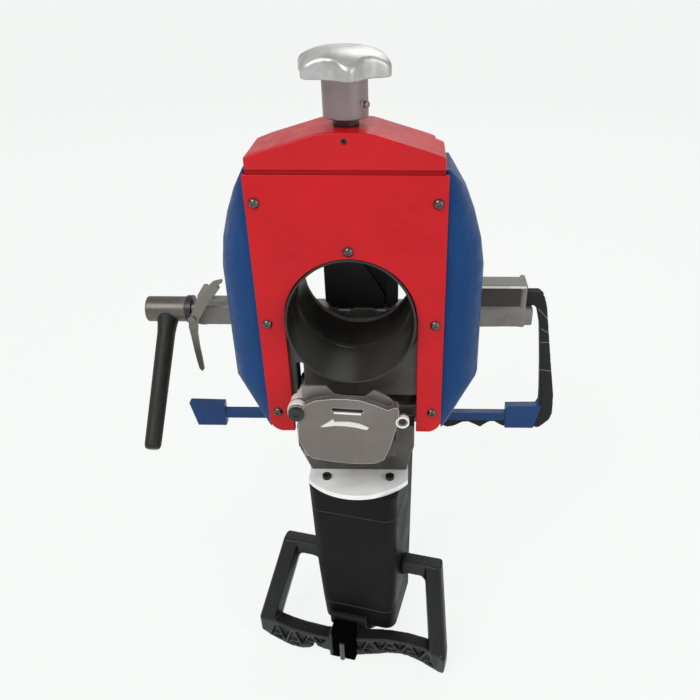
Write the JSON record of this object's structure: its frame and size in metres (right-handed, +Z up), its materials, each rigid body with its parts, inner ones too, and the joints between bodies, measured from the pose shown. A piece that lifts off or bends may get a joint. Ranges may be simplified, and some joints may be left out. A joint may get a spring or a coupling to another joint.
{
  "type": "orbital pipe cutting machine",
  "caption": "Bench pipe cutter: a rotor with a saw head, feed knob and motor turns on a journal tube round a pipe held in a centring vise",
  "frame": {"origin": "centre of the base plate's underside, on the bench face, in the middle of its bolt holes", "axes": "+X to the viewer's right along the clamp screw, +Y along the pipe away from the red plate, +Z up"},
  "size_m": [0.4925, 0.3207, 0.7021],
  "materials": {
    "cast_iron": "rough grey casting, oiled",
    "gear_case_alloy": "satin die casting, slightly warm grey",
    "black_steel": "blackened steel, satin",
    "zinc_screw": "plated steel",
    "black_screw": "blackened steel, satin",
    "red_paint": "gloss powder coat",
    "blue_paint": "semi gloss powder coat",
    "bronze": "turned bearing bronze",
    "knob_alloy": "bright cast aluminium",
    "machined_steel": "turned and ground",
    "guard_steel": "satin, light scratches",
    "black_plastic": "fine grained glass filled polyamide",
    "black_rubber": "moulded grip, matt",
    "worn_steel": "worn bare steel"
  },
  "bodies": {
    "vise": {"vise_body": "cast_iron", "journal_tube": "black_steel", "tube_screws": "zinc_screw", "retaining_ring": "black_steel", "base_plate": "cast_iron", "base_screws": "zinc_screw", "foot_bar": "blue_paint", "foot_screws": "zinc_screw", "side_handle": "black_rubber", "handle_screws": "zinc_screw", "lever_pin": "zinc_screw"},
    "rotor": {"front_plate": "red_paint", "plate_screws": "zinc_screw", "top_cap": "red_paint", "cap_screw": "black_screw", "cap_bush": "bronze", "rotor_housing": "blue_paint", "rotor_frame": "cast_iron", "bearing_front": "bronze", "bearing_rear": "bronze"},
    "size_knob": {"star_knob": "knob_alloy", "knob_set_screw": "black_screw", "thrust_collar": "black_steel", "feed_spindle": "machined_steel"},
    "saw_head": {"slide_yoke": "cast_iron", "yoke_nut": "bronze", "yoke_screws": "zinc_screw", "gear_housing": "gear_case_alloy", "guard_plate": "guard_steel", "guard_pin": "machined_steel", "motor_flange": "gear_case_alloy", "flange_screws": "black_screw", "motor_housing": "black_plastic", "motor_end_cap": "black_plastic", "handle_frame": "black_plastic", "frame_screw": "zinc_screw", "guard_screw": "black_screw"},
    "guard": {"blade_guard": "guard_steel"},
    "blade": {"saw_blade": "machined_steel", "blade_arbor": "machined_steel", "blade_nut": "machined_steel"},
    "clamp_spindle": {"clamp_screw": "machined_steel", "screw_collar": "black_steel", "wrench_handle": "black_steel"},
    "left_jaw": {"left_jaw": "black_steel", "left_carriage": "cast_iron"},
    "right_jaw": {"right_jaw": "black_steel", "right_carriage": "cast_iron"},
    "lock_lever": {"lock_lever": "worn_steel"}
  },
  "joints": [
    {"name": "rotor_turn", "type": "hinge", "parent": "vise", "child": "rotor", "pos_m": [0, -0.18, 0.228], "axis": [0, 1, 0], "range_deg": [-284, 38]},
    {"name": "knob_turn", "type": "hinge", "parent": "rotor", "child": "size_knob", "pos_m": [0, -0.18, 0.428], "axis": [0, 0, 1], "range_deg": [0, 5400]},
    {"name": "head_feed", "type": "slide", "parent": "rotor", "child": "saw_head", "axis": [0, 0, 1], "range_m": [0, 0.03]},
    {"name": "guard_swing", "type": "hinge", "parent": "saw_head", "child": "guard", "pos_m": [-0.054, -0.238, 0.1415], "axis": [0, 1, 0], "range_deg": [0, 75]},
    {"name": "blade_spin", "type": "hinge", "parent": "saw_head", "child": "blade", "pos_m": [-0.005, -0.231, 0.119], "axis": [0, 1, 0], "continuous": true},
    {"name": "clamp_turn", "type": "hinge", "parent": "vise", "child": "clamp_spindle", "pos_m": [-0.2, -0.059, 0.1588], "axis": [1, 0, 0], "range_deg": [0, 5940]},
    {"name": "left_jaw_slide", "type": "slide", "parent": "vise", "child": "left_jaw", "axis": [-1, 0, 0], "range_m": [0, 0.066]},
    {"name": "right_jaw_slide", "type": "slide", "parent": "vise", "child": "right_jaw", "axis": [1, 0, 0], "range_m": [0, 0.066]},
    {"name": "lever_swing", "type": "hinge", "parent": "vise", "child": "lock_lever", "pos_m": [-0.196, -0.082, 0.158], "axis": [0, 1, 0], "range_deg": [-15, 15]}
  ],
  "couplings": [
    {"joint": "knob_turn", "follows": "head_feed", "rad_per_m": 3141.6},
    {"joint": "left_jaw_slide", "follows": "clamp_turn", "m_per_rad": 0.0006366},
    {"joint": "right_jaw_slide", "follows": "clamp_turn", "m_per_rad": 0.0006366}
  ]
}
